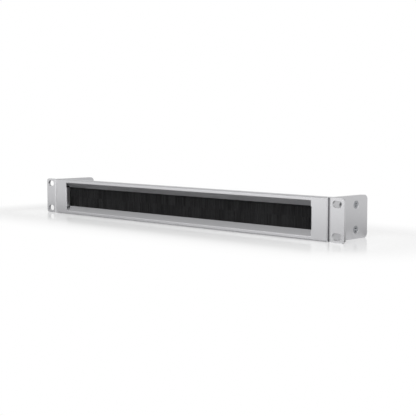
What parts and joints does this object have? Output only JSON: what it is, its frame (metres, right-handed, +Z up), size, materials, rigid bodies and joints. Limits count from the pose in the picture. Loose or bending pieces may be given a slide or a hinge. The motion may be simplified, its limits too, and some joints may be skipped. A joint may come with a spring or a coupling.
{
  "type": "rack brush strip panel",
  "caption": "Folded steel rack panel with a long window closed by facing rows of bristles for cables to pass through, and a slotted ear bracketed to each end.",
  "frame": {"origin": "middle of the panel's bounding box, on the surface that its bottom edges stand on", "axes": "+X along the panel, to the right seen from the front; +Y from the face to the rear; +Z up"},
  "size_m": [0.4826, 0.061, 0.0437],
  "materials": {
    "frame_paint": "silver powder coat with aluminium flakes",
    "ear_paint": "silver powder coat with aluminium flakes",
    "rail_aluminium": "extruded, anodised",
    "channel_metal": "folded strip",
    "plated_steel": "bright zinc plating",
    "black_nylon": "straight black nylon filaments"
  },
  "bodies": {
    "root": {"front_frame": "frame_paint", "left_bracket": "ear_paint", "right_bracket": "ear_paint", "upper_brush_rail": "rail_aluminium", "upper_brush_channel": "channel_metal", "upper_core_wire": "plated_steel", "upper_bristles": "black_nylon", "lower_brush_rail": "rail_aluminium", "lower_brush_channel": "channel_metal", "lower_core_wire": "plated_steel", "lower_bristles": "black_nylon", "left_upper_bracket_screw": "plated_steel", "left_upper_clinch_nut": "plated_steel", "left_lower_bracket_screw": "plated_steel", "left_lower_clinch_nut": "plated_steel", "right_upper_bracket_screw": "plated_steel", "right_upper_clinch_nut": "plated_steel", "right_lower_bracket_screw": "plated_steel", "right_lower_clinch_nut": "plated_steel", "upper_rail_screws": "plated_steel", "lower_rail_screws": "plated_steel"}
  },
  "joints": []
}
